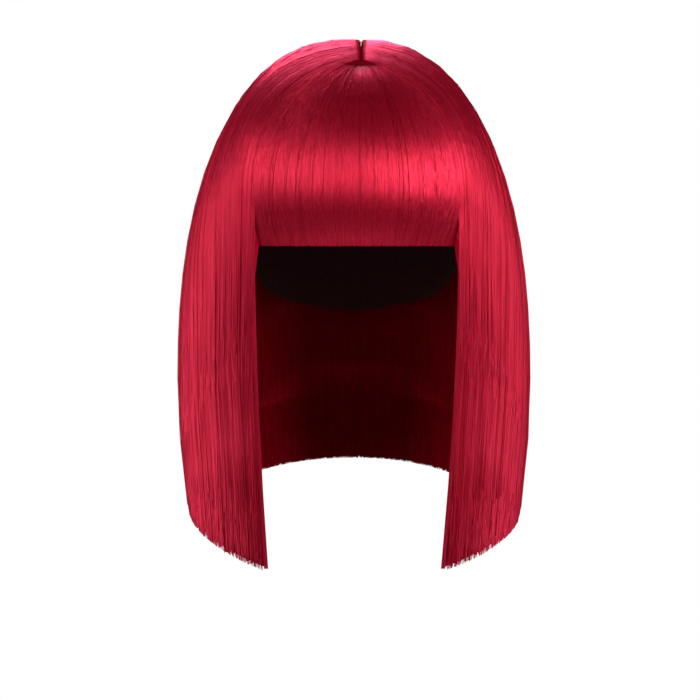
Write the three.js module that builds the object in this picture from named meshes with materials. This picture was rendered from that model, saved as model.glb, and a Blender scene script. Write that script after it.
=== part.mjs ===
// A straight bob wig, worn: a stretch cap with a short parting, a blunt full fringe, two long front and
// side sections and a shorter back. Millimetres, +Z up, the face looks along -Y and +X is the wearer's left.
// The origin is the highest point inside the cap, where the wig sits on the crown of the head.
import * as THREE from "three";
import { mergeVertices } from "three/addons/utils/BufferGeometryUtils.js";

// The head that the cap is made for. Each shoulder is the depth below the crown where the head's wall
// turns vertical, and fullness is the exponent of the dome: 2 is an ellipsoid, more is squarer.
const HEAD = {
  halfBreadth: 76,
  frontLength: 95,
  backLength: 97,
  frontShoulder: 80,
  sideShoulder: 100,
  backShoulder: 100,
  fullness: 2.2,
};

// The cap's wall, its lengths from the crown to the edge, and its edge round the head. A row is one place
// on the edge: turn is its bearing as a share of the half turn from face to nape, and drop is its depth
// as a share of the nape's.
const CAP = { wall: 1.5, napeDepth: 150 };
const CAP_EDGE = [
  { turn: 0.0, drop: 0.35 },
  { turn: 0.2, drop: 0.4 },
  { turn: 0.31, drop: 0.56 },
  { turn: 0.39, drop: 0.78 },
  { turn: 0.45, drop: 0.72 },
  { turn: 0.54, drop: 0.6 },
  { turn: 0.64, drop: 0.72 },
  { turn: 0.78, drop: 0.93 },
  { turn: 1.0, drop: 1.0 },
];

// The parting: its place and length on the crown, and the strip that shows in it.
const PARTING = {
  offset: 4,
  aheadOfCrown: 66,
  behindCrown: 25,
  halfWidth: 1.5,
  grooveDepth: 1.8,
  grooveReach: 5,
  stripWall: 1.2,
  stripLift: 0.5,
  stripClearance: 0.4,
};

// How far the hair stands off the cap, and how full its dome is.
const VOLUME = { crown: 5, side: 22.7, bangs: 10.7, back: 14.7, fullness: 2.3 };

// The hair's length below the crown at each place of the hem.
const CUT = {
  bangs: 110,
  leftFront: 289,
  leftSide: 265,
  rightFront: 289,
  rightSide: 262,
  back: 239,
  frontSweep: 1.35,
};

// Half the width of the face opening on each side, at the cheek and at the tips of the front hair.
const FACE = { leftCheek: 60, leftTip: 50.5, rightCheek: 57, rightTip: 50 };

// Where the hair's wall turns vertical, as a share of its length there, and how far the hem tucks in.
const FALL = {
  bangsShoulder: 0.78,
  sideShoulder: 0.715,
  backShoulder: 0.54,
  bangsTuck: 6,
  frontTuck: 16,
  sideTuck: 6,
  backTuck: 14,
};

// The thickness of the hair at the hem, and how soon below the cap's edge the hair comes free of it.
const WALL = { hem: 11, bangsHem: 6, frontEdge: 3, frontRamp: 26, release: 45 };

// The locks that the hair is combed into. Relief is how far a lock stands above the furrow beside it, and
// notch how far a furrow ends above a lock. Their ends are ragged, in steps of so many radians a lock.
const LOCKS = { bangs: 11, side: 12, back: 24, relief: 1, notch: 1.3, ragged: 1.4, raggedStep: 2.4 };

// Bearings in degrees from the face: the side hair ends behind the ear, the dome's front holds one depth
// as far as frontHold, and the blends to the ear and the nape end at the two others.
const BEARING = { behindEar: 105, frontHold: 35, earStart: 86, backStart: 96, napeHold: 162 };

// Clearances: between the hair and the cap it is sewn to, and between two sections of hair.
const SEAT_CLEARANCE = 0.8;
const SECTION_GAP = 0.7;

const CRIMSON = 0xa80d2c;
const SCALP_TONE = 0xc98f80;
const CAP_TONE = 0x3c0a14;

const mix = (a, b, share) => a + (b - a) * share;
const radians = THREE.MathUtils.degToRad;
const ease = (share) => THREE.MathUtils.smoothstep(share, 0, 1);

// A dome is a plan outline of two half ellipses, a top and a depth at which its wall turns vertical.
function headDome(growth) {
  return {
    halfWidth: HEAD.halfBreadth + growth,
    front: HEAD.frontLength + growth,
    back: HEAD.backLength + growth,
    top: growth,
    fullness: HEAD.fullness,
    shoulder: () => ({
      front: -HEAD.frontShoulder,
      side: -HEAD.sideShoulder,
      back: -HEAD.backShoulder,
    }),
  };
}

const capInside = headDome(0);
const capOutside = headDome(CAP.wall);
const hairInside = headDome(CAP.wall + SEAT_CLEARANCE);
const hairOutside = {
  halfWidth: hairInside.halfWidth + VOLUME.side,
  front: hairInside.front + VOLUME.bangs,
  back: hairInside.back + VOLUME.back,
  top: hairInside.top + VOLUME.crown,
  fullness: VOLUME.fullness,
  shoulder: (bearing) => ({
    front: -CUT.bangs * FALL.bangsShoulder,
    side: -sideCut(bearing) * FALL.sideShoulder,
    back: -CUT.back * FALL.backShoulder,
  }),
};

// The plan outline of the long hair's tucked-in hem.
const hemOutline = {
  halfWidth: hairOutside.halfWidth - FALL.sideTuck,
  front: hairOutside.front - FALL.frontTuck,
  back: hairOutside.back - FALL.backTuck,
};

// Bearings run from the face: positive to the wearer's left, over 180 degrees across the nape.
const isLeft = (bearing) => Math.sin(radians(bearing)) >= 0;
const turnFromFace = (bearing) => Math.abs(((bearing + 540) % 360) - 180);

function sideCut(bearing) {
  return isLeft(bearing) ? CUT.leftSide : CUT.rightSide;
}

function ringPoint(dome, bearing) {
  const cos = Math.cos(radians(bearing));
  const length = cos > 0 ? dome.front : dome.back;
  return new THREE.Vector3(dome.halfWidth * Math.sin(radians(bearing)), -length * cos, 0);
}

// A level step from the outside of the hair towards the cap.
function inward(bearing, distance) {
  const step = ringPoint(hairInside, bearing).sub(ringPoint(hairOutside, bearing));
  return step.setLength(distance);
}

// A level step round the head, towards greater bearings.
function sideways(bearing, distance) {
  const { x, y } = inward(bearing, distance);
  return new THREE.Vector3(y, -x, 0);
}

function shoulderDepth(dome, bearing) {
  const turn = turnFromFace(bearing);
  const at = dome.shoulder(bearing);
  if (turn < 90) {
    const share = (turn - BEARING.frontHold) / (BEARING.earStart - BEARING.frontHold);
    return mix(at.front, at.side, ease(share));
  }
  const share = (turn - BEARING.backStart) / (BEARING.napeHold - BEARING.backStart);
  return mix(at.side, at.back, ease(share));
}

// The height of a dome above a point of its plan.
function domeHeight(dome, x, y) {
  const across = x / dome.halfWidth;
  const along = -y / (y < 0 ? dome.front : dome.back);
  const reach = Math.min(1, Math.hypot(across, along));
  const bearing = THREE.MathUtils.radToDeg(Math.atan2(across, along));
  const rise = (1 - reach ** dome.fullness) ** (1 / dome.fullness);
  return mix(shoulderDepth(dome, bearing), dome.top, rise);
}

// The bearing where the fringe ends and the side hair begins, at the cheek and at the tip.
function frontEdge(bearing) {
  const [cheek, tip] = isLeft(bearing)
    ? [FACE.leftCheek, FACE.leftTip]
    : [FACE.rightCheek, FACE.rightTip];
  return {
    cheek: THREE.MathUtils.radToDeg(Math.asin(cheek / hairOutside.halfWidth)),
    tip: THREE.MathUtils.radToDeg(Math.asin(tip / hemOutline.halfWidth)),
  };
}

// Where a lock of this bearing leaves the parting: round its front end under the fringe, along it for the
// side hair, and round its back end for the back hair.
function rootPoint(bearing) {
  const turn = turnFromFace(bearing);
  const side = isLeft(bearing) ? 1 : -1;
  const edge = frontEdge(bearing).cheek;
  const place = (angle, y) => ({
    x: PARTING.offset + side * PARTING.halfWidth * Math.sin(radians(angle)),
    y: y - PARTING.halfWidth * Math.cos(radians(angle)),
  });
  if (turn < edge) return place((90 * turn) / edge, -PARTING.aheadOfCrown);
  if (turn > BEARING.behindEar) {
    const share = (turn - BEARING.behindEar) / (180 - BEARING.behindEar);
    return place(90 + 90 * share, PARTING.behindCrown);
  }
  const share = (turn - edge) / (BEARING.behindEar - edge);
  return place(90, mix(-PARTING.aheadOfCrown, PARTING.behindCrown, share));
}

// The depth of the hem at a bearing, for the fringe or for the long hair.
function hemDepth(bearing, isBangs) {
  if (isBangs) return -CUT.bangs;
  const cos = Math.cos(radians(bearing));
  if (cos < 0) return -mix(sideCut(bearing), CUT.back, -cos);
  const front = isLeft(bearing) ? CUT.leftFront : CUT.rightFront;
  const share = cos / Math.cos(radians(frontEdge(bearing).cheek));
  return -mix(sideCut(bearing), front, share ** CUT.frontSweep);
}

// The depth of the cap's edge at a bearing, on a smooth curve through the rows of CAP_EDGE.
function capEdgeDepth(bearing) {
  const turn = turnFromFace(bearing) / 180;
  const row = Math.max(1, CAP_EDGE.findIndex((r) => r.turn >= turn - 1e-9));
  const drop = (i) => CAP_EDGE[THREE.MathUtils.clamp(i, 0, CAP_EDGE.length - 1)].drop;
  const share = (turn - CAP_EDGE[row - 1].turn) / (CAP_EDGE[row].turn - CAP_EDGE[row - 1].turn);
  const [a, b, c, d] = [row - 2, row - 1, row, row + 1].map(drop);
  const bend = (c - a) * share + (2 * a - 5 * b + 4 * c - d) * share ** 2;
  return -CAP.napeDepth * (b + 0.5 * (bend + (3 * b - a - 3 * c + d) * share ** 3));
}

// The outside of the hair. The path runs from 0 at the parting through 1, where the hair turns vertical,
// to 2 at the hem.
function outsidePoint(bearing, path, isBangs) {
  const root = rootPoint(bearing);
  const rim = ringPoint(hairOutside, bearing);
  if (path <= 1) {
    const share = Math.sin((path * Math.PI) / 2);
    const x = mix(root.x, rim.x, share);
    const y = mix(root.y, rim.y, share);
    const away = Math.hypot(rim.x - root.x, rim.y - root.y) * share;
    const groove = PARTING.grooveDepth * Math.exp(-((away / PARTING.grooveReach) ** 2));
    return new THREE.Vector3(x, y, domeHeight(hairOutside, x, y) - groove);
  }
  const share = path - 1;
  const depth = mix(shoulderDepth(hairOutside, bearing), hemDepth(bearing, isBangs), share);
  return hangingRing(bearing, share ** 2, isBangs).setZ(depth);
}

// The plan of the hanging hair, tucked in by a share of its full tuck. The front edges lean to the face.
function hangingRing(bearing, tucked, isBangs) {
  const ring = ringPoint(hairOutside, bearing);
  if (isBangs) return ring.add(inward(bearing, FALL.bangsTuck * tucked));
  const turn = turnFromFace(bearing);
  const edge = frontEdge(bearing);
  const side = isLeft(bearing) ? 1 : -1;
  const leant = turn < 90 ? mix(edge.tip, 90, (turn - edge.cheek) / (90 - edge.cheek)) : turn;
  return ring.lerp(ringPoint(hemOutline, side * leant), tucked);
}

// How thick the hair is where it hangs free: thin at the front edges, full by the ear.
function hangingWall(bearing, isBangs) {
  const past = Math.abs(turnFromFace(bearing) - frontEdge(bearing).cheek);
  const full = isBangs ? WALL.bangsHem : WALL.hem;
  return mix(WALL.frontEdge, full, ease(past / WALL.frontRamp));
}

// The inside of the hair: on the cap as far as its edge, then free of it at the hanging thickness.
function insidePoint(bearing, path, isBangs) {
  const root = rootPoint(bearing);
  const rim = ringPoint(hairInside, bearing);
  const share = Math.sin((Math.min(path, 1) * Math.PI) / 2);
  const [x, y] = [mix(root.x, rim.x, share), mix(root.y, rim.y, share)];
  const seated = new THREE.Vector3(x, y, domeHeight(hairInside, x, y));
  const hem = hemDepth(bearing, isBangs);
  if (path > 1) seated.z = mix(shoulderDepth(hairInside, bearing), hem, path - 1);
  const free = outsidePoint(bearing, path, isBangs);
  free.add(inward(bearing, hangingWall(bearing, isBangs)));
  return seated.lerp(free, ease((capEdgeDepth(bearing) - seated.z) / WALL.release));
}

// The direction away from the head on the outside of the hair.
function outward(bearing, path, isBangs) {
  const [turnStep, pathStep] = [0.5, 0.02];
  const at = Math.max(path, pathStep);
  const across = outsidePoint(bearing + turnStep, at, isBangs);
  across.sub(outsidePoint(bearing - turnStep, at, isBangs));
  const down = outsidePoint(bearing, Math.min(at + pathStep, 2), isBangs);
  down.sub(outsidePoint(bearing, at - pathStep, isBangs));
  return down.cross(across).normalize();
}

// A closed shell between two grids of points, given as functions of a column and a row.
function shellGeometry(columns, rows, outer, inner, { closedRound = false } = {}) {
  const [width, height] = [columns.length, rows.length];
  const points = [outer, inner].flatMap((surface) =>
    columns.flatMap((column) => rows.map((row) => surface(column, row))),
  );
  const at = (layer, i, j) => (layer * width + (i % width)) * height + j;
  const faces = [];
  const quad = (a, b, c, d) => faces.push([a, b, c], [a, c, d]);
  const spans = closedRound ? width : width - 1;
  const last = height - 1;
  for (let i = 0; i < spans; i++) {
    for (let j = 0; j < last; j++) {
      quad(at(0, i, j), at(0, i, j + 1), at(0, i + 1, j + 1), at(0, i + 1, j));
      quad(at(1, i, j), at(1, i + 1, j), at(1, i + 1, j + 1), at(1, i, j + 1));
    }
    if (!closedRound) quad(at(0, i, 0), at(0, i + 1, 0), at(1, i + 1, 0), at(1, i, 0));
    quad(at(0, i + 1, last), at(0, i, last), at(1, i, last), at(1, i + 1, last));
  }
  for (let j = 0; j < last && !closedRound; j++) {
    quad(at(0, 0, j + 1), at(0, 0, j), at(1, 0, j), at(1, 0, j + 1));
    quad(at(0, spans, j + 1), at(1, spans, j + 1), at(1, spans, j), at(0, spans, j));
  }
  const loose = new THREE.BufferGeometry().setFromPoints(points).setIndex(faces.flat());
  return withoutFlatFaces(mergeVertices(loose, 1e-4));
}

// Drops the faces that lost a corner when their points were merged, as at the crown of the cap.
function withoutFlatFaces(geometry) {
  const index = geometry.index.array;
  const kept = [];
  for (let i = 0; i < index.length; i += 3) {
    const [a, b, c] = index.slice(i, i + 3);
    if (a !== b && b !== c && c !== a) kept.push(a, b, c);
  }
  geometry.setIndex(kept);
  geometry.computeVertexNormals();
  return geometry;
}

// The bearings of a section's locks: a furrow and two crest lines for each lock. The first and the last
// line retreat from the neighbouring section.
const CREST_LINES = 3;
function lockColumns(from, to, locks) {
  const steps = locks * CREST_LINES;
  return Array.from({ length: steps + 1 }, (_, step) => ({
    bearing: mix(from, to, step / steps),
    crest: step % CREST_LINES === 0 ? 0 : 1,
    lock: Math.floor(step / CREST_LINES),
    retreat: step === 0 ? 1 : step === steps ? -1 : 0,
  }));
}

// Path values of a section's rows: close together over the crown, wider apart where the hair hangs.
function pathRows(domeRows, fallRows) {
  const dome = Array.from({ length: domeRows + 1 }, (_, i) => i / domeRows);
  const fall = Array.from({ length: fallRows }, (_, i) => 1 + (i + 1) / fallRows);
  return [...dome, ...fall];
}

const DOME_ROWS = 8;
function hairMesh(name, from, to, locks, fallRows, isBangs) {
  const columns = lockColumns(from, to, locks);
  const rows = pathRows(DOME_ROWS, fallRows);
  // Each lock ends at a length of its own, and its furrows end a little higher.
  const endLift = ({ crest, lock }) =>
    mix(LOCKS.notch, LOCKS.ragged * Math.sin(lock * LOCKS.raggedStep), crest);
  const finish = (point, column, path) => {
    if (path === 2) point.z += endLift(column);
    return point.addScaledVector(sideways(column.bearing, SECTION_GAP / 2), column.retreat);
  };
  const outer = (column, path) => {
    const { bearing, crest } = column;
    const relief = LOCKS.relief * (crest - 1) * Math.min(1, path);
    const point = outsidePoint(bearing, path, isBangs);
    point.addScaledVector(outward(bearing, path, isBangs), relief);
    return finish(point, column, path);
  };
  const inner = (column, path) => finish(insidePoint(column.bearing, path, isBangs), column, path);
  return namedMesh(name, shellGeometry(columns, rows, outer, inner), CRIMSON, 0.4);
}

// The cap: a thin dome down to its edge, with samples close together near the crown.
const CAP_COLUMNS = 48;
const CAP_ROWS = 9;
function capMesh() {
  const columns = Array.from({ length: CAP_COLUMNS }, (_, i) => (i * 360) / CAP_COLUMNS);
  const rows = Array.from({ length: CAP_ROWS + 1 }, (_, j) => j / CAP_ROWS);
  const surface = (dome) => (bearing, row) => {
    const depth = (dome.top - capEdgeDepth(bearing)) * (1 - Math.cos((row * Math.PI) / 2));
    const shoulder = dome.top - shoulderDepth(dome, bearing);
    const rise = Math.max(0, 1 - depth / shoulder);
    const reach = (1 - rise ** dome.fullness) ** (1 / dome.fullness);
    const rim = ringPoint(dome, bearing);
    return new THREE.Vector3(rim.x * reach, rim.y * reach, dome.top - depth);
  };
  const geometry = shellGeometry(columns, rows, surface(capOutside), surface(capInside), {
    closedRound: true,
  });
  return namedMesh("wig_cap", geometry, CAP_TONE, 0.85);
}

// The strip of the parting: a thin plate that follows the cap along the groove.
const STRIP_ROWS = 14;
function partingMesh() {
  const halfWidth = PARTING.halfWidth - PARTING.stripClearance;
  const columns = [-halfWidth, 0, halfWidth].map((across) => PARTING.offset + across);
  const rows = Array.from({ length: STRIP_ROWS + 1 }, (_, j) =>
    mix(PARTING.behindCrown, -PARTING.aheadOfCrown, j / STRIP_ROWS),
  );
  const surface = (lift) => (x, y) =>
    new THREE.Vector3(x, y, domeHeight(capOutside, x, y) + lift);
  const geometry = shellGeometry(
    columns,
    rows,
    surface(PARTING.stripLift + PARTING.stripWall),
    surface(PARTING.stripLift),
  );
  return namedMesh("parting", geometry, SCALP_TONE, 0.7);
}

function namedMesh(name, geometry, color, roughness) {
  const material = new THREE.MeshStandardMaterial({ color, roughness, metalness: 0 });
  const mesh = new THREE.Mesh(geometry, material);
  mesh.name = name;
  return mesh;
}

const SIDE_ROWS = 5;
const BANGS_ROWS = 3;
const leftEdge = frontEdge(90).cheek;
const rightEdge = frontEdge(-90).cheek;
const { behindEar } = BEARING;

const wig = new THREE.Group();
wig.add(
  capMesh(),
  partingMesh(),
  hairMesh("bangs", -rightEdge, leftEdge, LOCKS.bangs, BANGS_ROWS, true),
  hairMesh("side_hair_left", leftEdge, behindEar, LOCKS.side, SIDE_ROWS, false),
  hairMesh("side_hair_right", -behindEar, -rightEdge, LOCKS.side, SIDE_ROWS, false),
  hairMesh("back_hair", behindEar, 360 - behindEar, LOCKS.back, SIDE_ROWS, false),
);

export default wig;
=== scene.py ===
"""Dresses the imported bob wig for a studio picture: combed fibre hair, parting strip and cap net."""

import logging
import math
from dataclasses import asdict, dataclass, fields, replace
from enum import Enum
from typing import Callable, Iterable, Sequence

import bpy
from bpy.types import Material, Node, NodeSocket, NodeTree, Object
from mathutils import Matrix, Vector


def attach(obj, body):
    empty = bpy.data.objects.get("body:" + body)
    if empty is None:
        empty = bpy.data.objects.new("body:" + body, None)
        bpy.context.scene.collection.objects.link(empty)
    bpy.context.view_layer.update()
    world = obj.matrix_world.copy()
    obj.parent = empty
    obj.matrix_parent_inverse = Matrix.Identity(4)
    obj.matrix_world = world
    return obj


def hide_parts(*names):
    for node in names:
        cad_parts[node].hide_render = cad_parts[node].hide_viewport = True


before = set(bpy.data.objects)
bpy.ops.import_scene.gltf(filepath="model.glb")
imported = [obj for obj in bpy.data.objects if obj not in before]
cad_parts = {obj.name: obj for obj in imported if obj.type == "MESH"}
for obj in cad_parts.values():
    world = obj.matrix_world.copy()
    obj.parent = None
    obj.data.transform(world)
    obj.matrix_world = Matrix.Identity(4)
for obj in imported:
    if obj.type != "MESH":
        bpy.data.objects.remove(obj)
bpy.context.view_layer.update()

logging.basicConfig(level=logging.INFO, format="%(message)s")
log = logging.getLogger("bob_wig")

Pair = tuple[float, float]
Triple = tuple[float, float, float]

BODY = "root"
MM = 0.001
HEM_PATH = 2.0
HALVINGS = 24
SHARP_ANGLE = math.radians(50)


def mix(a: float, b: float, share: float) -> float:
    """Returns the value a share of the way from a to b."""
    return a + (b - a) * share


def ease(share: float) -> float:
    """Returns a share between 0 and 1 with a slow start and a slow end."""
    clamped = min(1.0, max(0.0, share))
    return clamped * clamped * (3.0 - 2.0 * clamped)


def path_at(height: Callable[[float], float], target: float, low: float) -> float:
    """Finds by halving where a surface that falls along its path comes down to a height.

    Args:
        height: Gives the surface's height at a path.
        target: The height that is looked for.
        low: A path where the surface is still higher.

    Returns:
        The path, at most that of the hem.
    """
    high = HEM_PATH
    for _ in range(HALVINGS):
        middle = (low + high) / 2
        low, high = (middle, high) if height(middle) > target else (low, middle)
    return low


class Section(Enum):
    """The sections that the hair is sewn in, by the name of the solid that each stands for."""

    BANGS = "bangs"
    LEFT = "side_hair_left"
    RIGHT = "side_hair_right"
    BACK = "back_hair"


@dataclass(frozen=True)
class Dome:
    """A head-like dome: a plan of two half ellipses, a top and a depth where its wall turns vertical.

    A depth is a height in metres, negative below the crown.
    """

    half_width: float
    front: float
    back: float
    top: float
    fullness: float
    depth_front: float
    depth_left: float
    depth_right: float
    depth_back: float

    def ring(self, bearing: float) -> Vector:
        """Returns the point of the plan outline at a bearing in degrees from the face."""
        angle = math.radians(bearing)
        length = self.front if math.cos(angle) > 0 else self.back
        return Vector((self.half_width * math.sin(angle), -length * math.cos(angle), 0.0))


@dataclass(frozen=True)
class WigForm:
    """The surfaces of the wig, worked out from its driving sizes, in metres and degrees.

    Bearings run from the face, positive to the wearer's left. A path runs from 0 at the parting
    through 1, where the hair turns vertical, to 2 at the hem.
    """

    head_half_breadth: float = 76 * MM
    head_front: float = 95 * MM
    head_back: float = 97 * MM
    head_fullness: float = 2.2
    head_depth_front: float = 80 * MM
    head_depth_side: float = 100 * MM
    cap_wall: float = 1.5 * MM
    cap_nape_depth: float = 150 * MM
    cap_edge: tuple[Pair, ...] = (
        (0.0, 0.35),
        (0.2, 0.4),
        (0.31, 0.56),
        (0.39, 0.78),
        (0.45, 0.72),
        (0.54, 0.6),
        (0.64, 0.72),
        (0.78, 0.93),
        (1.0, 1.0),
    )
    seat_clearance: float = 0.8 * MM
    volume_crown: float = 5.0 * MM
    volume_side: float = 22.7 * MM
    volume_bangs: float = 10.7 * MM
    volume_back: float = 14.7 * MM
    hair_fullness: float = 2.3
    parting_offset: float = 4 * MM
    parting_ahead: float = 66 * MM
    parting_behind: float = 25 * MM
    parting_half_width: float = 0.2 * MM
    groove_depth: float = 0.4 * MM
    groove_reach: float = 2.0 * MM
    cut_bangs: float = 110 * MM
    cut_left_front: float = 289 * MM
    cut_left: float = 265 * MM
    cut_right_front: float = 289 * MM
    cut_right: float = 262 * MM
    cut_back: float = 239 * MM
    front_sweep: float = 1.35
    left_cheek: float = 60 * MM
    left_tip: float = 50.5 * MM
    right_cheek: float = 57 * MM
    right_tip: float = 50 * MM
    bangs_shoulder: float = 0.78
    side_shoulder: float = 0.715
    back_shoulder: float = 0.54
    bangs_tuck: float = 7.5 * MM
    front_tuck: float = 16 * MM
    side_tuck: float = 6 * MM
    back_tuck: float = 14 * MM
    wall_hem: float = 11 * MM
    wall_bangs: float = 6 * MM
    wall_edge: float = 3 * MM
    wall_ramp: float = 26.0
    release: float = 45 * MM
    behind_ear: float = 105.0
    front_hold: float = 35.0
    ear_start: float = 86.0
    back_start: float = 96.0
    nape_hold: float = 162.0

    def head(self, growth: float) -> Dome:
        """Returns the dome of the head grown outwards by a thickness."""
        return Dome(
            self.head_half_breadth + growth,
            self.head_front + growth,
            self.head_back + growth,
            growth,
            self.head_fullness,
            -self.head_depth_front,
            -self.head_depth_side,
            -self.head_depth_side,
            -self.head_depth_side,
        )

    @property
    def seat(self) -> Dome:
        """The dome that the inside of the hair rests on."""
        return self.head(self.cap_wall + self.seat_clearance)

    @property
    def hair(self) -> Dome:
        """The dome of the outside of the hair."""
        seat = self.seat
        return Dome(
            seat.half_width + self.volume_side,
            seat.front + self.volume_bangs,
            seat.back + self.volume_back,
            seat.top + self.volume_crown,
            self.hair_fullness,
            -self.cut_bangs * self.bangs_shoulder,
            -self.cut_left * self.side_shoulder,
            -self.cut_right * self.side_shoulder,
            -self.cut_back * self.back_shoulder,
        )

    @property
    def hem_outline(self) -> Dome:
        """The plan outline of the long hair's tucked-in hem."""
        hair = self.hair
        return replace(
            hair,
            half_width=hair.half_width - self.side_tuck,
            front=hair.front - self.front_tuck,
            back=hair.back - self.back_tuck,
        )

    @staticmethod
    def is_left(bearing: float) -> bool:
        """Returns whether a bearing lies on the wearer's left."""
        return math.sin(math.radians(bearing)) >= 0

    @staticmethod
    def turn(bearing: float) -> float:
        """Returns how far a bearing is from the face, from 0 to 180 degrees."""
        return abs((bearing + 540.0) % 360.0 - 180.0)

    def shoulder(self, dome: Dome, bearing: float) -> float:
        """Works out where a dome's wall turns vertical.

        Args:
            dome: The surface.
            bearing: Degrees from the face.

        Returns:
            The height.
        """
        turn = self.turn(bearing)
        side = dome.depth_left if self.is_left(bearing) else dome.depth_right
        if turn < 90:
            share = (turn - self.front_hold) / (self.ear_start - self.front_hold)
            return mix(dome.depth_front, side, ease(share))
        share = (turn - self.back_start) / (self.nape_hold - self.back_start)
        return mix(side, dome.depth_back, ease(share))

    def height(self, dome: Dome, x: float, y: float) -> float:
        """Works out a dome's height above a point of its plan.

        Args:
            dome: The surface.
            x: The place across.
            y: The place along.

        Returns:
            The height of the dome there.
        """
        across = x / dome.half_width
        along = -y / (dome.front if y < 0 else dome.back)
        reach = min(1.0, math.hypot(across, along))
        rise = (1.0 - reach**dome.fullness) ** (1.0 / dome.fullness)
        bearing = math.degrees(math.atan2(across, along))
        return mix(self.shoulder(dome, bearing), dome.top, rise)

    def front_edge(self, bearing: float) -> Pair:
        """Works out the bearings of the face opening's edge at the cheek and at the tip.

        Args:
            bearing: Any bearing of the side that is asked for.

        Returns:
            Both, counted from the face.
        """
        left = self.is_left(bearing)
        cheek = self.left_cheek if left else self.right_cheek
        tip = self.left_tip if left else self.right_tip
        return (
            math.degrees(math.asin(cheek / self.hair.half_width)),
            math.degrees(math.asin(tip / self.hem_outline.half_width)),
        )

    def root(self, bearing: float, bangs: bool) -> Pair:
        """Works out the point at the parting that a lock leaves from.

        Args:
            bearing: Degrees from the face.
            bangs: Whether the hair is the fringe's.

        Returns:
            The point's x and y.
        """
        turn = self.turn(bearing)
        side = 1.0 if self.is_left(bearing) else -1.0
        edge = self.front_edge(bearing)[0]
        if bangs:
            angle, y = 90.0 * min(1.0, turn / edge), -self.parting_ahead
        elif turn > self.behind_ear:
            share = (turn - self.behind_ear) / (180.0 - self.behind_ear)
            angle, y = 90.0 + 90.0 * share, self.parting_behind
        else:
            share = max(0.0, (turn - edge) / (self.behind_ear - edge))
            angle, y = 90.0, mix(-self.parting_ahead, self.parting_behind, share)
        out = math.radians(angle)
        x = self.parting_offset + side * self.parting_half_width * math.sin(out)
        return x, y - self.parting_half_width * math.cos(out)

    def hem(self, bearing: float, bangs: bool) -> float:
        """Works out the height of the hem.

        Args:
            bearing: Degrees from the face.
            bangs: Whether the hair is the fringe's.

        Returns:
            The height.
        """
        if bangs:
            return -self.cut_bangs
        left = self.is_left(bearing)
        side = self.cut_left if left else self.cut_right
        cos = math.cos(math.radians(bearing))
        if cos < 0:
            return -mix(side, self.cut_back, -cos)
        share = cos / math.cos(math.radians(self.front_edge(bearing)[0]))
        return -mix(side, self.cut_left_front if left else self.cut_right_front, share**self.front_sweep)

    def cap_depth(self, bearing: float) -> float:
        """Works out the height of the cap's edge, on a smooth curve through its table.

        Args:
            bearing: Degrees from the face.

        Returns:
            The height.
        """
        turn = self.turn(bearing) / 180.0
        rows = self.cap_edge
        row = max(1, next(i for i, r in enumerate(rows) if r[0] >= turn - 1e-9))
        share = (turn - rows[row - 1][0]) / (rows[row][0] - rows[row - 1][0])
        a, b, c, d = (rows[min(max(i, 0), len(rows) - 1)][1] for i in range(row - 2, row + 2))
        bend = (c - a) * share + (2 * a - 5 * b + 4 * c - d) * share**2
        drop = b + 0.5 * (bend + (3 * b - a - 3 * c + d) * share**3)
        return -self.cap_nape_depth * drop

    def inward(self, bearing: float, distance: float) -> Vector:
        """Returns a level step from the outside of the hair towards the cap."""
        step = self.seat.ring(bearing) - self.hair.ring(bearing)
        return step.normalized() * distance

    def hanging(self, bearing: float, tucked: float, bangs: bool) -> Vector:
        """Works out the plan point of the hanging hair.

        Args:
            bearing: Degrees from the face.
            tucked: The share of the full tuck.
            bangs: Whether the hair is the fringe's.

        Returns:
            The point, at no height.
        """
        ring = self.hair.ring(bearing)
        if bangs:
            return ring + self.inward(bearing, self.bangs_tuck * tucked)
        turn = self.turn(bearing)
        side = 1.0 if self.is_left(bearing) else -1.0
        cheek, tip = self.front_edge(bearing)
        leant = mix(tip, 90.0, (turn - cheek) / (90.0 - cheek)) if turn < 90 else turn
        return ring.lerp(self.hem_outline.ring(side * leant), tucked)

    def outside(self, bearing: float, path: float, bangs: bool) -> Vector:
        """Works out a point on the outside of the hair.

        Args:
            bearing: Degrees from the face.
            path: From 0 at the parting to 2 at the hem.
            bangs: Whether the hair is the fringe's.

        Returns:
            The point.
        """
        hair = self.hair
        rim = hair.ring(bearing)
        if path > 1.0:
            share = path - 1.0
            point = self.hanging(bearing, share * share, bangs)
            point.z = mix(self.shoulder(hair, bearing), self.hem(bearing, bangs), share)
            return point
        root_x, root_y = self.root(bearing, bangs)
        share = math.sin(path * math.pi / 2)
        x, y = mix(root_x, rim.x, share), mix(root_y, rim.y, share)
        away = math.hypot(rim.x - root_x, rim.y - root_y) * share
        groove = self.groove_depth * math.exp(-((away / self.groove_reach) ** 2))
        return Vector((x, y, self.height(hair, x, y) - groove))

    def inside(self, bearing: float, path: float, bangs: bool) -> Vector:
        """Works out a point on the inside of the hair, seated on the cap as far as its edge.

        Args:
            bearing: Degrees from the face.
            path: From 0 at the parting to 2 at the hem.
            bangs: Whether the hair is the fringe's.

        Returns:
            The point.
        """
        seat = self.seat
        root_x, root_y = self.root(bearing, bangs)
        rim = seat.ring(bearing)
        share = math.sin(min(path, 1.0) * math.pi / 2)
        x, y = mix(root_x, rim.x, share), mix(root_y, rim.y, share)
        seated = Vector((x, y, self.height(seat, x, y)))
        if path > 1.0:
            seated.z = mix(self.shoulder(seat, bearing), self.hem(bearing, bangs), path - 1.0)
        past = abs(self.turn(bearing) - self.front_edge(bearing)[0])
        full = self.wall_bangs if bangs else self.wall_hem
        wall = mix(self.wall_edge, full, ease(past / self.wall_ramp))
        free = self.outside(bearing, path, bangs) + self.inward(bearing, wall)
        return seated.lerp(free, ease((self.cap_depth(bearing) - seated.z) / self.release))


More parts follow.
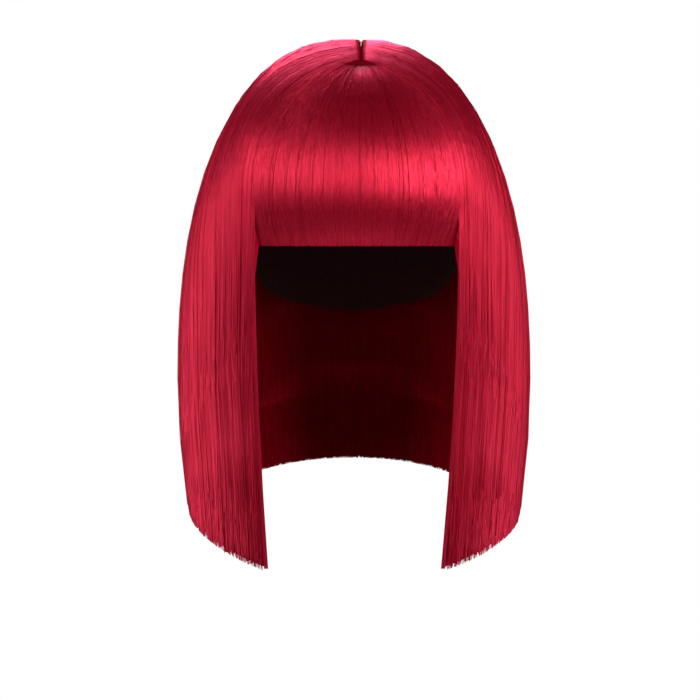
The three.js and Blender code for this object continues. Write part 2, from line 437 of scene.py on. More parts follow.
class TreeWriter:
    """Adds nodes to a node tree and joins them."""

    def __init__(self, tree: NodeTree) -> None:
        """Starts writing into a tree."""
        self.tree = tree

    def add(self, kind: str, inputs: dict | None = None, **settings: object) -> Node:
        """Adds a node.

        Args:
            kind: The node's type.
            inputs: Values or sockets by the name or the number of the input they go to.
            settings: The node's own properties.

        Returns:
            The new node.
        """
        node = self.tree.nodes.new(kind)
        for name, value in settings.items():
            setattr(node, name, value)
        self.fill(node, inputs or {})
        return node

    def fill(self, node: Node, inputs: dict) -> None:
        """Gives a node its inputs.

        Args:
            node: The node.
            inputs: Values or sockets by the name or the number of the input they go to.
        """
        for key, value in inputs.items():
            if isinstance(value, NodeSocket):
                self.tree.links.new(value, node.inputs[key])
            else:
                node.inputs[key].default_value = value

    def math(self, operation: str, *values: object) -> NodeSocket:
        """Adds a math node over values or sockets and returns its output."""
        inputs = dict(enumerate(values))
        return self.add("ShaderNodeMath", inputs, operation=operation).outputs[0]

    def times(self, a: object, b: object) -> NodeSocket:
        """Adds a product of two numbers and returns its output."""
        return self.math("MULTIPLY", a, b)

    def blend(self, a: object, b: object, share: object) -> NodeSocket:
        """Adds a mix of two numbers and returns its output."""
        return self.add("ShaderNodeMix", {0: share, 2: a, 3: b}, data_type="FLOAT").outputs[0]

    def tint(self, a: object, b: object, share: object) -> NodeSocket:
        """Adds a mix of two colours or sockets and returns its output."""
        ends = {key: (*end, 1) if isinstance(end, tuple) else end for key, end in ((6, a), (7, b))}
        return self.add("ShaderNodeMix", {0: share, **ends}, data_type="RGBA").outputs[2]

    def ramp(
        self, value: object, start: object, end: object, a: float = 0.0, b: float = 1.0, kind: str = "LINEAR"
    ) -> NodeSocket:
        """Adds a map of a value from start and end to a and b and returns its output."""
        inputs = {0: value, 1: start, 2: end, 3: a, 4: b}
        return self.add("ShaderNodeMapRange", inputs, interpolation_type=kind).outputs[0]

    def noise(self, place: object, scale: object, detail: float) -> NodeSocket:
        """Adds a noise over a place that is scaled along each axis and returns its output."""
        spot = self.add("ShaderNodeMapping", {"Vector": place, "Scale": scale}).outputs[0]
        return self.add("ShaderNodeTexNoise", {"Vector": spot, "Scale": 1.0, "Detail": detail}).outputs[0]

    def bump(self, height: object, strength: float, distance: float) -> NodeSocket:
        """Adds a bump over a height, its distance in metres, and returns the normal."""
        inputs = {"Height": height, "Strength": strength, "Distance": distance}
        return self.add("ShaderNodeBump", inputs).outputs[0]


def new_material(name: str) -> tuple[Material, TreeWriter, Node]:
    """Makes a material with nodes.

    Args:
        name: The material's name.

    Returns:
        The material, a writer for its tree and its surface shader.
    """
    made = bpy.data.materials.new(name)
    made.use_nodes = True
    return made, TreeWriter(made.node_tree), made.node_tree.nodes["Principled BSDF"]


def mesh_object(name: str, points: Sequence[Vector], faces: Sequence[tuple[int, ...]]) -> Object:
    """Makes a smooth mesh object at the origin and links it to the scene.

    Args:
        name: The object's name.
        points: Its points, in metres.
        faces: Its faces, by point number.

    Returns:
        The object.
    """
    mesh = bpy.data.meshes.new(name)
    mesh.from_pydata([tuple(p) for p in points], [], faces)
    mesh.polygons.foreach_set("use_smooth", [True] * len(mesh.polygons))
    mesh.update()
    piece = bpy.data.objects.new(name, mesh)
    bpy.context.scene.collection.objects.link(piece)
    return piece


def own(piece: Object, nodes: Iterable[str]) -> Object:
    """Fixes a piece to the body, hides the solids that it stands for and logs its face count.

    Args:
        piece: The piece.
        nodes: The solids that it stands for.

    Returns:
        The piece.
    """
    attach(piece, BODY)
    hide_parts(*nodes)
    log.info("%s: %d faces", piece.name, len(piece.data.polygons))
    return piece


@dataclass(frozen=True)
class FibreFinish:
    """Glossy synthetic fibre. Its colour runs between a deep and a bright tone from lock to lock, and near
    the root it turns to a darker tone that is painted shade at the parting.
    """

    name: str = "crimson_fibre"
    deep: Triple = (0.62, 0.004, 0.030)
    bright: Triple = (0.88, 0.013, 0.068)
    # root is painted shade: the dark tone that strands take near the parting, where the parted hair lies in
    # shadow.
    root: Triple = (0.16, 0.001, 0.006)
    metallic: float = 0.75
    roughness: float = 0.33
    roughness_spread: float = 0.1
    root_roughness: float = 0.8
    specular: float = 0.0
    glint: Triple = (0.8, 0.6, 1.0)
    gloss: float = 0.42
    gloss_roughness: float = 0.3
    streaks: Triple = (260, 260, 9)
    streak_share: float = 0.3
    tip_share: float = 0.1

    def material(self) -> Material:
        """Returns the material of the strands."""
        made, write, shader = new_material(self.name)
        tone, along, grown = (
            write.add("ShaderNodeAttribute", attribute_name=f"strand_{part}").outputs["Fac"]
            for part in ("tone", "along", "grown")
        )
        place = write.add("ShaderNodeTexCoord").outputs["Object"]
        varied = write.blend(tone, write.noise(place, self.streaks, 2.0), self.streak_share)
        share = write.math("MULTIPLY_ADD", along, self.tip_share, varied)
        smoothest = self.roughness - self.roughness_spread / 2
        fine = write.math("MULTIPLY_ADD", tone, self.roughness_spread, smoothest)
        inputs = {
            # Base Color turns to the root tone where strand_grown is low: painted shade at the parting.
            "Base Color": write.tint(self.root, write.tint(self.deep, self.bright, share), grown),
            "Roughness": write.blend(self.root_roughness, fine, grown),
            "Metallic": write.times(grown, self.metallic),
            "Specular IOR Level": self.specular,
            "Specular Tint": (*self.glint, 1),
            "Coat Weight": write.times(grown, self.gloss),
            "Coat Roughness": self.gloss_roughness,
        }
        write.fill(shader, inputs)
        return made


@dataclass(frozen=True)
class UnderhairFinish:
    """The packed fibre under the loose strands, painted deeper than them as the shade within the hair, with
    fine streaks down the hair; near the parting it turns darker still, as painted shade.
    """

    name: str = "crimson_underhair"
    # deep and bright lie below the strands' tones: painted shade within the hair, where the strands shadow
    # it.
    deep: Triple = (0.34, 0.002, 0.016)
    bright: Triple = (0.55, 0.005, 0.034)
    # root is painted shade: the shell's dark tone near the parting.
    root: Triple = (0.14, 0.001, 0.006)
    metallic: float = 0.6
    roughness: float = 0.36
    root_roughness: float = 0.9
    root_end: float = 0.1
    grown_from: float = 0.34
    streaks: float = 900.0
    streak_breaks: float = 6.0
    bump: Pair = (0.8, 0.6 * MM)

    def material(self) -> Material:
        """Returns the material of the hair shells."""
        made, write, shader = new_material(self.name)
        uv = write.add("ShaderNodeUVMap", uv_map="comb").outputs[0]
        streak = write.noise(uv, (self.streaks, self.streak_breaks, 1), 3.0)
        down = write.add("ShaderNodeSeparateXYZ", {0: uv}).outputs[1]
        grown = write.ramp(down, self.root_end, self.grown_from, kind="SMOOTHSTEP")
        inputs = {
            # Base Color turns to the root tone near the parting: painted shade.
            "Base Color": write.tint(self.root, write.tint(self.deep, self.bright, streak), grown),
            "Metallic": write.times(grown, self.metallic),
            "Roughness": write.blend(self.root_roughness, self.roughness, grown),
            "Normal": write.bump(streak, *self.bump),
            "Specular IOR Level": 0.0,
        }
        write.fill(shader, inputs)
        return made


@dataclass(frozen=True)
class StrandRule:
    """How the strands of one section lie. Lengths are in metres, shares are of the guide surface."""

    count: int = 1800
    points: int = 18
    radius: float = 0.2 * MM
    lift: float = 0.28 * MM
    sunk: float = 0.3 * MM
    relief: float = 0.05 * MM
    stray: float = 0.8 * MM
    clumps: float = 110.0
    wander: float = 0.005
    ragged: float = 0.025
    root_start: float = 0.01
    root_zone: float = 0.024
    root_spread: float = 0.03
    first: float = 0.005
    last: float = 0.995
    seed: int = 1


@dataclass(frozen=True)
class StrandHabit:
    """What all strands have in common. The shares are of a strand's length, tone or thickness.

    A rarity is the power that a random share is raised to: the higher, the fewer strands stand out.
    """

    noise_detail: float = 1.5
    clump_change: float = 1.5
    fine_clumps: float = 4.0
    fine_change: float = 2.5
    drift_rarity: float = 12.0
    drift_gain: float = 3.0
    sway_spread: float = 97.0
    sway_change: float = 2.0
    edge_guard: float = 0.001
    short_rarity: float = 2.0
    loose_rarity: float = 60.0
    settled: float = 0.4
    tone_base: float = 0.38
    tone_spread: float = 0.25
    tone_clump: float = 0.25
    tone_fine: float = 0.3
    matt_shaded_share: float = 0.5
    base_end: float = 0.1
    base_width: float = 0.4
    tip_start: float = 0.97
    tip_width: float = 0.35
    thinnest: float = 0.55
    width_spread: float = 0.9
    tilt_spread: float = 0.6
    sides: int = 3


class StrandTree:
    """The node tree that combs strands over a guide surface with a comb map."""

    def __init__(self, habit: StrandHabit = StrandHabit()) -> None:
        """Builds the tree once for all sections.

        Args:
            habit: What all strands have in common.
        """
        self.habit = habit
        self.tree = bpy.data.node_groups.new("comb_strands", "GeometryNodeTree")
        sockets = {"Guide": "NodeSocketGeometry"}
        for field in fields(StrandRule):
            sockets[self.label(field.name)] = "NodeSocketInt" if field.type is int else "NodeSocketFloat"
        sockets["Finish"] = "NodeSocketMaterial"
        for name, kind in sockets.items():
            self.tree.interface.new_socket(name, in_out="INPUT", socket_type=kind)
        self.tree.interface.new_socket("Strands", in_out="OUTPUT", socket_type="NodeSocketGeometry")
        self._write()

    @staticmethod
    def label(name: str) -> str:
        """Returns the label of the socket that takes a field of the rule."""
        return name.replace("_", " ").title()

    def _write(self) -> None:
        """Writes the nodes: lines, their places on the guide, their tubes and their finish."""
        habit = self.habit
        write = TreeWriter(self.tree)
        given = write.add("NodeGroupInput").outputs
        line = write.add("GeometryNodeCurvePrimitiveLine", {"End": (0, 0, 1)}).outputs[0]
        fine = write.add("GeometryNodeResampleCurve", {"Curve": line, "Count": given["Points"]}).outputs[0]
        copies = write.add(
            "GeometryNodeDuplicateElements", {"Geometry": fine, "Amount": given["Count"]}, domain="SPLINE"
        )
        index = copies.outputs["Duplicate Index"]

        def chance(offset: int) -> NodeSocket:
            """Returns a random share for each strand."""
            seed = write.math("ADD", given["Seed"], offset * 101)
            inputs = {2: 0.0, 3: 1.0, "ID": index, "Seed": seed}
            return write.add("FunctionNodeRandomValue", inputs, data_type="FLOAT").outputs[1]

        def noise(x: object, y: object, z: object) -> NodeSocket:
            """Returns a smooth noise around nought at a place."""
            spot = write.add("ShaderNodeCombineXYZ", {0: x, 1: y, 2: z}).outputs[0]
            inputs = {"Vector": spot, "Scale": 1.0, "Detail": habit.noise_detail}
            return write.math("SUBTRACT", write.add("ShaderNodeTexNoise", inputs).outputs[0], 0.5)

        along = write.add("GeometryNodeSplineParameter").outputs["Factor"]
        placed = write.math("ADD", index, chance(1))
        across = write.math("DIVIDE", placed, given["Count"])
        clump_spot = write.times(across, given["Clumps"])
        clump = noise(clump_spot, write.times(along, habit.clump_change), given["Seed"])
        fine_spot = write.times(clump_spot, habit.fine_clumps)
        fine_clump = noise(fine_spot, write.times(along, habit.fine_change), given["Seed"])
        stray = write.math("POWER", chance(2), habit.drift_rarity)
        sway_spot = write.times(chance(3), habit.sway_spread)
        sway = noise(sway_spot, write.times(along, habit.sway_change), given["Seed"])
        reach = write.math("MULTIPLY_ADD", stray, habit.drift_gain, 1.0)
        drift = write.times(write.times(sway, given["Wander"]), reach)
        section = write.blend(given["First"], given["Last"], across)
        limits = {0: write.math("ADD", section, drift), 1: habit.edge_guard, 2: 1.0 - habit.edge_guard}
        u = write.add("ShaderNodeClamp", limits).outputs[0]
        start = write.math("MULTIPLY_ADD", chance(4), given["Root Spread"], given["Root Start"])
        short = write.times(write.math("POWER", chance(5), habit.short_rarity), given["Ragged"])
        v = write.blend(start, write.math("SUBTRACT", 1.0, short), along)
        spot = write.add("ShaderNodeCombineXYZ", {0: u, 1: v}).outputs[0]
        comb = write.add("GeometryNodeInputNamedAttribute", {"Name": "comb"}, data_type="FLOAT_VECTOR")
        sampled = []
        for kind in ("GeometryNodeInputPosition", "GeometryNodeInputNormal"):
            inputs = {0: given["Guide"], 1: write.add(kind).outputs[0], 2: comb.outputs[0], 3: spot}
            sampler = write.add("GeometryNodeSampleUVSurface", inputs, data_type="FLOAT_VECTOR")
            sampled.append(sampler.outputs[0])
        loose = write.times(write.math("POWER", chance(10), habit.loose_rarity), given["Stray"])
        depth = write.math("MULTIPLY_ADD", chance(6), given["Lift"], loose)
        folds = write.times(write.math("ADD", clump, fine_clump), given["Relief"])
        settle = write.ramp(along, 0.0, habit.settled, kind="SMOOTHSTEP")
        under = write.times(given["Sunk"], -1.0)
        lift = write.blend(under, write.math("ADD", depth, folds), settle)
        push = write.add("ShaderNodeVectorMath", {0: sampled[1], 3: lift}, operation="SCALE").outputs[0]
        target = write.add("ShaderNodeVectorMath", {0: sampled[0], 1: push}, operation="ADD").outputs[0]
        tone = write.math("MULTIPLY_ADD", chance(7), habit.tone_spread, habit.tone_base)
        tone = write.math("ADD", tone, write.times(clump, habit.tone_clump))
        tone = write.math("ADD", tone, write.times(fine_clump, habit.tone_fine))
        shape = copies.outputs["Geometry"]
        # strand_grown rises from 0 at the root to 1 past the root zone; the finishes make the root rougher
        # and painted dark there, as shade at the parting.
        matt_shaded_end = write.times(given["Root Zone"], habit.matt_shaded_share)
        grown = write.ramp(along, matt_shaded_end, given["Root Zone"], kind="SMOOTHSTEP")
        for name, value in (("strand_tone", tone), ("strand_along", along), ("strand_grown", grown)):
            store = write.add("GeometryNodeStoreNamedAttribute", {0: shape, "Name": name}, domain="POINT")
            self.tree.links.new(value, next(s for s in store.inputs if s.name == "Value" and s.enabled))
            shape = store.outputs[0]
        facing = write.add("GeometryNodeSetCurveNormal", {0: shape}, mode="FREE")
        self.tree.links.new(sampled[1], facing.inputs["Normal"])
        shape = write.add("GeometryNodeSetPosition", {0: facing.outputs[0], "Position": target}).outputs[0]
        tip = write.ramp(along, habit.tip_start, 1.0, 1.0, habit.tip_width)
        base = write.ramp(along, 0.0, habit.base_end, habit.base_width, 1.0)
        taper = write.times(base, tip)
        width = write.math("MULTIPLY_ADD", chance(8), habit.width_spread, habit.thinnest)
        thick = write.times(width, taper)
        shape = write.add("GeometryNodeSetCurveRadius", {0: shape, "Radius": thick}).outputs[0]
        turned = write.math("MULTIPLY_ADD", chance(9), habit.tilt_spread, -habit.tilt_spread / 2)
        shape = write.add("GeometryNodeSetCurveTilt", {0: shape, "Tilt": turned}).outputs[0]
        profile = {"Resolution": habit.sides, "Radius": given["Radius"]}
        ring = write.add("GeometryNodeCurvePrimitiveCircle", profile, mode="RADIUS").outputs[0]
        parts = {"Curve": shape, "Profile Curve": ring, "Fill Caps": True}
        tube = write.add("GeometryNodeCurveToMesh", parts)
        smooth = write.add("GeometryNodeSetShadeSmooth", {0: tube.outputs[0]}).outputs[0]
        real = write.add("GeometryNodeRealizeInstances", {0: smooth}).outputs[0]
        finished = write.add("GeometryNodeSetMaterial", {0: real, "Material": given["Finish"]}).outputs[0]
        write.add("NodeGroupOutput", {0: finished})

    def comb(self, guide: Object, name: str, rule: StrandRule, finish: Material) -> Object:
        """Combs strands over a guide.

        Args:
            guide: A mesh object with a comb map. It is deleted afterwards.
            name: The name of the strands' piece.
            rule: How many strands there are and how they lie.
            finish: The strands' material.

        Returns:
            A plain mesh object with the strands.
        """
        modifier = guide.modifiers.new("comb", "NODES")
        modifier.node_group = self.tree
        values = {self.label(name): value for name, value in asdict(rule).items()}
        values["Finish"] = finish
        for item in self.tree.interface.items_tree:
            if item.in_out == "INPUT" and item.name in values:
                modifier[item.identifier] = values[item.name]
        guide.update_tag()
        graph = bpy.context.evaluated_depsgraph_get()
        mesh = bpy.data.meshes.new_from_object(guide.evaluated_get(graph))
        mesh.name = name
        guide.modifiers.remove(modifier)
        piece = bpy.data.objects.new(name, mesh)
        bpy.context.scene.collection.objects.link(piece)
        old = guide.data
        bpy.data.objects.remove(guide)
        bpy.data.meshes.remove(old)
        return piece


@dataclass(frozen=True)
class HairFinishes:
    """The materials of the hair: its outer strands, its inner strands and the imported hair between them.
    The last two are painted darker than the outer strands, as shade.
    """

    strand: Material
    lining: Material
    packed: Material


@dataclass
class Guide:
    """A surface that strands are combed over, given as a point for each share across and along it."""

    surface: Callable[[float, float], Vector]
    rows: Sequence[float]
    columns: int = 64
    flipped: bool = False

    def mesh(self, name: str) -> Object:
        """Makes the guide as a mesh with a comb map, its front on the side that the strands lie on.

        Args:
            name: The object's name.

        Returns:
            The object.
        """
        height = len(self.rows)
        points = [self.surface(i / self.columns, v) for i in range(self.columns + 1) for v in self.rows]
        faces = []
        for i in range(self.columns):
            for j in range(height - 1):
                face = (i * height + j, i * height + j + 1, (i + 1) * height + j + 1, (i + 1) * height + j)
                faces.append(face[::-1] if self.flipped else face)
        guide = mesh_object(name, points, faces)
        comb = guide.data.attributes.new("comb", "FLOAT_VECTOR", "CORNER")
        for loop in guide.data.loops:
            column, row = divmod(loop.vertex_index, height)
            comb.data[loop.index].vector = (column / self.columns, row / (height - 1), 0.0)
        return guide


@dataclass
class HairSection:
    """One sewn section of hair: a packed shell with loose strands on its outside, inside and edge."""

    form: WigForm
    section: Section
    start: float
    end: float
    coat: StrandRule
    lining: StrandRule
    edging: StrandRule | None = None
    columns: int = 56
    rows: int = 44
    margin: float = 2.0
    coat_sink: float = 0.5 * MM
    tuck_under: float = 0.4 * MM
    shell_sink: float = 1.3 * MM
    hem_reach: float = 1.0 * MM
    hem_short: float = 1.0 * MM
    root_zone: float = 12 * MM
    root_weight: float = 5.0
    fall_weight: float = 0.32
    path_steps: int = 600
    margin_fade: float = 0.12
    hem_bend: int = 4
    lining_lap: float = 6 * MM
    lining_rows: int = 24
    edge_start: float = 0.75
    edge_rows: int = 40
    edge_columns: int = 4

    @property
    def is_bangs(self) -> bool:
        """Whether this section is the fringe."""
        return self.section is Section.BANGS

    def paths(self) -> list[float]:
        """Returns the rows' paths: even in length, closer at the parting and wider where the hair hangs."""
        steps = self.path_steps
        middle = (self.start + self.end) / 2
        tried = [HEM_PATH * i / steps for i in range(steps + 1)]
        places = [self.form.outside(middle, path, self.is_bangs) for path in tried]
        run, reach = 0.0, [0.0]
        for i in range(steps):
            step = (places[i + 1] - places[i]).length
            run += step
            weight = self.root_weight if run < self.root_zone else 1.0
            reach.append(reach[-1] + step * (weight if tried[i] < 1 else self.fall_weight))
        marks = [reach[-1] * j / self.rows for j in range(self.rows + 1)]
        picked = [min(range(steps + 1), key=lambda i: abs(reach[i] - mark)) for mark in marks]
        return [tried[i] for i in picked]

    def sunk(self, bearing: float, path: float, depth: float) -> Vector:
        """Works out a point below the outside of the hair.

        Args:
            bearing: Degrees from the face.
            path: From 0 at the parting to 2 at the hem.
            depth: How far below.

        Returns:
            The point.
        """
        point = self.form.outside(bearing, path, self.is_bangs)
        point += self.form.inward(bearing, depth * ease(path * 2))
        point.z -= depth * (1 - ease(path))
        return point

    def coat_guide(self) -> Guide:
        """Returns the outside surface, a little wider than the section and a little past its hem."""

        def surface(across: float, path: float) -> Vector:
            """Works out a point of the outside.

            Args:
                across: The share across the section.
                path: From 0 at the parting to 2 at the hem.

            Returns:
                The point.
            """
            free = 1.0 - ease((path - 1.0) / self.margin_fade)
            before = self.margin * (free if self.section is Section.LEFT else 1.0)
            after = self.margin * (free if self.section is Section.RIGHT else 1.0)
            bearing = mix(self.start - before, self.end + after, across)
            beyond = max(0.0, self.start - bearing, bearing - self.end) / self.margin
            point = self.sunk(bearing, path, self.coat_sink + self.tuck_under * beyond)
            point.z -= self.hem_reach * max(0.0, path - 1.0) ** self.hem_bend
            return point

        return Guide(surface, self.paths(), self.columns)

    def release_path(self, bearing: float) -> float:
        """Returns the path at which the inside of the hair leaves the cap's edge."""
        depth = self.form.cap_depth(bearing) + self.lining_lap
        return path_at(lambda path: self.seated(bearing, path).z, depth, 0.2)

    def seated(self, bearing: float, path: float) -> Vector:
        """Returns a point on the inside of the hair."""
        return self.form.inside(bearing, path, self.is_bangs)

    def lining_guide(self) -> Guide:
        """Returns the inside surface from the cap's edge to the hem."""
        columns = self.columns // 2
        bearings = [mix(self.start, self.end, i / columns) for i in range(columns + 1)]
        releases = [self.release_path(bearing) for bearing in bearings]

        def surface(across: float, along: float) -> Vector:
            """Returns a point of the inside."""
            column = round(across * columns)
            return self.seated(bearings[column], mix(releases[column], HEM_PATH, along))

        rows = [j / self.lining_rows for j in range(self.lining_rows + 1)]
        return Guide(surface, rows, columns, flipped=True)

    def edge_guide(self) -> Guide:
        """Returns the narrow surface that edges the face opening, from the temple to the tip."""
        left = self.section is Section.LEFT
        bearing = self.start if left else self.end

        def surface(across: float, along: float) -> Vector:
            """Returns a point between the outside and the inside."""
            path = mix(self.edge_start, HEM_PATH, along)
            return self.sunk(bearing, path, self.coat_sink).lerp(self.seated(bearing, path), across)

        rows = [j / self.edge_rows for j in range(self.edge_rows + 1)]
        return Guide(surface, rows, self.edge_columns, flipped=not left)

    def shell(self, finish: Material) -> Object:
        """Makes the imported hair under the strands, a closed shell a little inside the solid.

        Args:
            finish: The shell's material.

        Returns:
            The shell.
        """
        paths = self.paths()
        height, width = len(paths), self.columns + 1
        bearings = [mix(self.start, self.end, i / self.columns) for i in range(width)]
        points = [self.sunk(bearing, path, self.shell_sink) for bearing in bearings for path in paths]
        points += [self.seated(bearing, path) for bearing in bearings for path in paths]
        for point, path in zip(points, paths * (2 * width)):
            point.z += self.hem_short * max(0.0, path - 1.0) ** self.hem_bend

        def at(layer: int, i: int, j: int) -> int:
            """Returns a point's number."""
            return (layer * width + i) * height + j

        faces = []
        last, spans = height - 1, self.columns
        for i in range(spans):
            for j in range(last):
                faces.append((at(0, i, j), at(0, i, j + 1), at(0, i + 1, j + 1), at(0, i + 1, j)))
                faces.append((at(1, i, j), at(1, i + 1, j), at(1, i + 1, j + 1), at(1, i, j + 1)))
            faces.append((at(0, i, 0), at(0, i + 1, 0), at(1, i + 1, 0), at(1, i, 0)))
            faces.append((at(0, i + 1, last), at(0, i, last), at(1, i, last), at(1, i + 1, last)))
        for j in range(last):
            faces.append((at(0, 0, j + 1), at(0, 0, j), at(1, 0, j), at(1, 0, j + 1)))
            faces.append((at(0, spans, j), at(0, spans, j + 1), at(1, spans, j + 1), at(1, spans, j)))
        piece = mesh_object(f"{self.section.value}_packed", points, faces)
        comb = piece.data.uv_layers.new(name="comb")
        span = (self.end - self.start) / 360.0
        for loop in piece.data.loops:
            column, row = divmod(loop.vertex_index % (width * height), height)
            comb.data[loop.index].uv = (span * column / self.columns, row / last)
        piece.data.set_sharp_from_angle(angle=SHARP_ANGLE)
        piece.data.materials.append(finish)
        return piece

    def build(self, tree: StrandTree, finishes: HairFinishes) -> None:
        """Builds and dresses the section's shell and its coats of strands.

        Args:
            tree: The tree that combs the strands.
            finishes: The materials of the hair.
        """
        name = self.section.value
        own(self.shell(finishes.packed), [name])
        coats = [
            ("strands", self.coat_guide(), self.coat, finishes.strand),
            ("lining", self.lining_guide(), self.lining, finishes.lining),
        ]
        if self.edging:
            coats.append(("edging", self.edge_guide(), self.edging, finishes.strand))
        for kind, guide, rule, finish in coats:
            combed = tree.comb(guide.mesh(f"{name}_guide"), f"{name}_{kind}", rule, finish)
            own(combed, [name])


@dataclass(frozen=True)
class PartingFinish:
    """Matt strip, painted dark as the shade in the parting, dotted with finer and darker hair roots."""

    name: str = "parting_strip"
    # tone and dark are painted shade: the strip is as dark as the shaded parting rather than its own skin
    # tone; the dots stay darker as the hair roots.
    tone: Triple = (0.05, 0.008, 0.009)
    dark: Triple = (0.02, 0.002, 0.003)
    roughness: float = 0.9
    specular: float = 0.05
    dots: float = 1400.0
    dot_edge: Pair = (0.15, 0.4)
    bump: Pair = (0.4, 0.2 * MM)

    def material(self) -> Material:
        """Returns the material of the parting strip."""
        made, write, shader = new_material(self.name)
        place = write.add("ShaderNodeTexCoord").outputs["Object"]
        dots = write.add("ShaderNodeTexVoronoi", {"Vector": place, "Scale": self.dots})
        mask = write.ramp(dots.outputs["Distance"], *self.dot_edge)
        inputs = {
            "Base Color": write.tint(self.dark, self.tone, mask),
            "Normal": write.bump(mask, *self.bump),
            "Roughness": self.roughness,
            "Specular IOR Level": self.specular,
        }
        write.fill(shader, inputs)
        return made


@dataclass(frozen=True)
class CapFinish:
    """Matt elastic cap net, knitted in fine stitches."""

    name: str = "cap_net"
    yarn: Triple = (0.060, 0.004, 0.009)
    gap: Triple = (0.018, 0.001, 0.003)
    stitches: float = 900.0
    patches: float = 60.0
    stitch_share: float = 0.7
    patch_share: float = 0.4
    roughness: float = 0.85
    bump: Pair = (0.6, 0.6 * MM)

    def material(self) -> Material:
        """Returns the material of the cap."""
        made, write, shader = new_material(self.name)
        place = write.add("ShaderNodeTexCoord").outputs["Object"]
        knots = write.add("ShaderNodeTexVoronoi", {"Vector": place, "Scale": self.stitches})
        patch = write.add("ShaderNodeTexNoise", {"Vector": place, "Scale": self.patches, "Detail": 3.0})
        height = knots.outputs["Distance"]
        worn = write.times(patch.outputs["Fac"], self.patch_share)
        share = write.math("MULTIPLY_ADD", height, self.stitch_share, worn)
        inputs = {
            "Base Color": write.tint(self.gap, self.yarn, share),
            "Normal": write.bump(height, *self.bump),
            "Roughness": self.roughness,
        }
        write.fill(shader, inputs)
        return made


@dataclass
class StretchCap:
    """The elastic cap that the hair is sewn to: a thin smooth shell with its edge round the head."""

    form: WigForm
    columns: int = 120
    rows: int = 28

    def place(self, dome: Dome, bearing: float, path: float) -> Vector:
        """Works out a point on a dome.

        Args:
            dome: The surface.
            bearing: Degrees from the face.
            path: From 0 at the crown through 1 at the shoulder to 2.

        Returns:
            The point.
        """
        rim = dome.ring(bearing)
        if path > 1.0:
            rim.z = self.form.shoulder(dome, bearing) - (path - 1.0) * self.form.cap_nape_depth
            return rim
        share = math.sin(path * math.pi / 2)
        x, y = rim.x * share, rim.y * share
        return Vector((x, y, self.form.height(dome, x, y)))

    def edge_path(self, dome: Dome, bearing: float) -> float:
        """Returns the path at which a dome reaches the cap's edge."""
        depth = self.form.cap_depth(bearing)
        return path_at(lambda path: self.place(dome, bearing, path).z, depth, 0.1)

    def build(self, finish: Material) -> None:
        """Builds the cap as one closed shell and dresses it.

        Args:
            finish: The cap's material.
        """
        points, size = [], 1 + self.columns * self.rows
        for growth in (0.0, self.form.cap_wall):
            dome = self.form.head(growth)
            points.append(self.place(dome, 0.0, 0.0))
            for i in range(self.columns):
                bearing = 360.0 * i / self.columns
                edge = self.edge_path(dome, bearing)
                points += [self.place(dome, bearing, edge * (j + 1) / self.rows) for j in range(self.rows)]

        def at(layer: int, i: int, j: int) -> int:
            """Returns a point's number, row nought being the crown."""
            return layer * size + (0 if j == 0 else 1 + (i % self.columns) * self.rows + j - 1)

        faces = []
        for i in range(self.columns):
            faces.append((at(0, i, 0), at(0, i + 1, 1), at(0, i, 1)))
            faces.append((at(1, i, 0), at(1, i, 1), at(1, i + 1, 1)))
            for j in range(1, self.rows):
                faces.append((at(0, i, j), at(0, i + 1, j), at(0, i + 1, j + 1), at(0, i, j + 1)))
                faces.append((at(1, i, j), at(1, i, j + 1), at(1, i + 1, j + 1), at(1, i + 1, j)))
            last = self.rows
            faces.append((at(0, i, last), at(0, i + 1, last), at(1, i + 1, last), at(1, i, last)))
        piece = mesh_object("stretch_cap", points, faces)
        piece.data.set_sharp_from_angle(angle=SHARP_ANGLE)
        piece.data.materials.append(finish)
        own(piece, ["wig_cap"])


@dataclass(frozen=True)
class SoftPanel:
    """A rectangular soft light that faces the wig: its place and size in metres and its power in watts."""

    name: str
    place: Triple
    size: Pair
    power: float


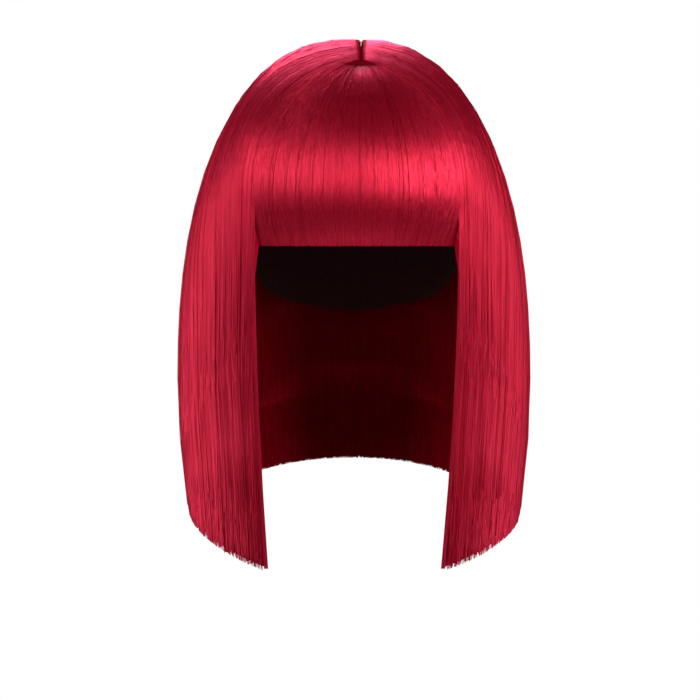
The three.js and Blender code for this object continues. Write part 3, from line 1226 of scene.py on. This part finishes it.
@dataclass
class Studio:
    """A pale floor, soft lights and the camera, placed round the wig."""

    scale: float = 0.575 * MM
    picture: int = 700
    middle_column: int = 354
    middle_height: float = -170.9 * MM
    distance: float = 1.8
    tilt: float = 2.0
    floor_height: float = -1.1
    floor_radius: float = 1.4
    floor_sides: int = 96
    floor_tone: Triple = (0.74, 0.73, 0.72)
    floor_roughness: float = 0.7
    panels: tuple[SoftPanel, ...] = (
        SoftPanel("key_left", (1.0, -1.25, 0.28), (0.7, 0.55), 12.0),
        SoftPanel("key_right", (-1.0, -1.25, 0.28), (0.7, 0.55), 7.2),
        SoftPanel("side_left", (1.5, -0.2, -0.28), (0.7, 1.0), 4.6),
        SoftPanel("side_right", (-1.5, -0.2, -0.28), (0.7, 1.0), 5.2),
        SoftPanel("top", (-0.25, 0.8, 1.05), (0.9, 0.4), 34.0),
    )
    backdrop: float = 1.0
    ambient: float = 0.04
    lit_height: float = -0.1

    def camera(self) -> None:
        """Makes the camera at the height of the eyes, looking slightly down."""
        data = bpy.data.cameras.new("camera")
        data.sensor_width = 36.0
        half = self.picture / 2 * self.scale
        data.lens = data.sensor_width / 2 * self.distance / half
        aim = Vector(((self.picture / 2 - self.middle_column) * self.scale, 0.0, self.middle_height))
        tilt = math.radians(self.tilt)
        back = Vector((0.0, -math.cos(tilt), math.sin(tilt)))
        camera = bpy.data.objects.new("camera", data)
        camera.location = aim + back * self.distance
        camera.rotation_euler = (-back).to_track_quat("-Z", "Y").to_euler()
        bpy.context.scene.collection.objects.link(camera)
        bpy.context.scene.camera = camera

    def floor(self) -> None:
        """Makes the round pale floor under the wig."""
        ring = [
            Vector((self.floor_radius * math.cos(a), self.floor_radius * math.sin(a), self.floor_height))
            for a in (math.tau * i / self.floor_sides for i in range(self.floor_sides))
        ]
        piece = mesh_object("floor", ring, [tuple(range(self.floor_sides))])
        made, write, shader = new_material("floor")
        write.fill(shader, {"Base Color": (*self.floor_tone, 1), "Roughness": self.floor_roughness})
        piece.data.materials.append(made)

    def light(self, panel: SoftPanel) -> None:
        """Makes a soft panel light that faces the wig.

        Args:
            panel: Its name, place, size and power.
        """
        data = bpy.data.lights.new(panel.name, "AREA")
        data.shape = "RECTANGLE"
        data.size, data.size_y = panel.size
        data.energy = panel.power
        lamp = bpy.data.objects.new(panel.name, data)
        lamp.location = panel.place
        lamp.visible_camera = False
        aim = Vector((0.0, 0.0, self.lit_height)) - Vector(panel.place)
        lamp.rotation_euler = aim.to_track_quat("-Z", "Y").to_euler()
        bpy.context.scene.collection.objects.link(lamp)

    def world(self) -> None:
        """Makes a white surround that lights the wig less than it shows behind it."""
        world = bpy.data.worlds.new("studio")
        world.use_nodes = True
        write = TreeWriter(world.node_tree)
        seen = write.add("ShaderNodeLightPath").outputs["Is Camera Ray"]
        strength = write.blend(self.ambient, self.backdrop, seen)
        write.fill(world.node_tree.nodes["Background"], {"Strength": strength, "Color": (1, 1, 1, 1)})
        bpy.context.scene.world = world

    def build(self) -> None:
        """Builds the camera, the floor, the lights and the surround."""
        self.camera()
        self.floor()
        self.world()
        for panel in self.panels:
            self.light(panel)
        bpy.context.scene.view_settings.view_transform = "Standard"


def main() -> None:
    """Builds every piece of the wig and the studio, and reports each."""
    Studio().build()
    form = WigForm()
    # The inner strands take a darker, less glossy copy of the fibre; the darker tone is painted shade inside
    # the wig.
    inner = FibreFinish(
        name="crimson_fibre_in_shade",
        deep=(0.22, 0.001, 0.006),
        bright=(0.46, 0.003, 0.018),
        metallic=0.3,
        roughness=0.5,
        gloss=0.0,
    )
    finishes = HairFinishes(FibreFinish().material(), inner.material(), UnderhairFinish().material())
    tree = StrandTree()
    left = form.front_edge(90.0)[0]
    right = form.front_edge(-90.0)[0]
    ear = form.behind_ear
    lining = StrandRule(
        count=650,
        points=7,
        radius=0.25 * MM,
        sunk=0.0,
        stray=0.0,
        root_spread=0.0,
        first=0.0,
        last=1.0,
        seed=21,
    )
    edging = StrandRule(
        count=220, points=12, sunk=0.5 * MM, stray=0.0, first=0.05, last=0.95, wander=0.1, seed=31
    )
    fringe = StrandRule(
        count=2400,
        points=12,
        sunk=0.6 * MM,
        root_start=0.03,
        root_zone=0.36,
        root_spread=0.3,
        seed=3,
    )
    sections = [
        HairSection(
            form,
            Section.BANGS,
            -right,
            left,
            fringe,
            replace(lining, count=350),
            margin=3.5,
            fall_weight=1.2,
        ),
        HairSection(form, Section.LEFT, left, ear, StrandRule(seed=5), lining, edging),
        HairSection(form, Section.RIGHT, -ear, -right, StrandRule(seed=7), lining, edging),
        HairSection(
            form,
            Section.BACK,
            ear,
            360.0 - ear,
            StrandRule(clumps=160.0, root_spread=0.2, seed=11),
            replace(lining, count=1300),
            columns=84,
        ),
    ]
    for section in sections:
        section.build(tree, finishes)
    StretchCap(form).build(CapFinish().material())
    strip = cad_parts["parting"]
    strip.data.materials.clear()
    strip.data.materials.append(PartingFinish().material())
    log.info("parting: carried over")


if __name__ == "__main__":
    main()
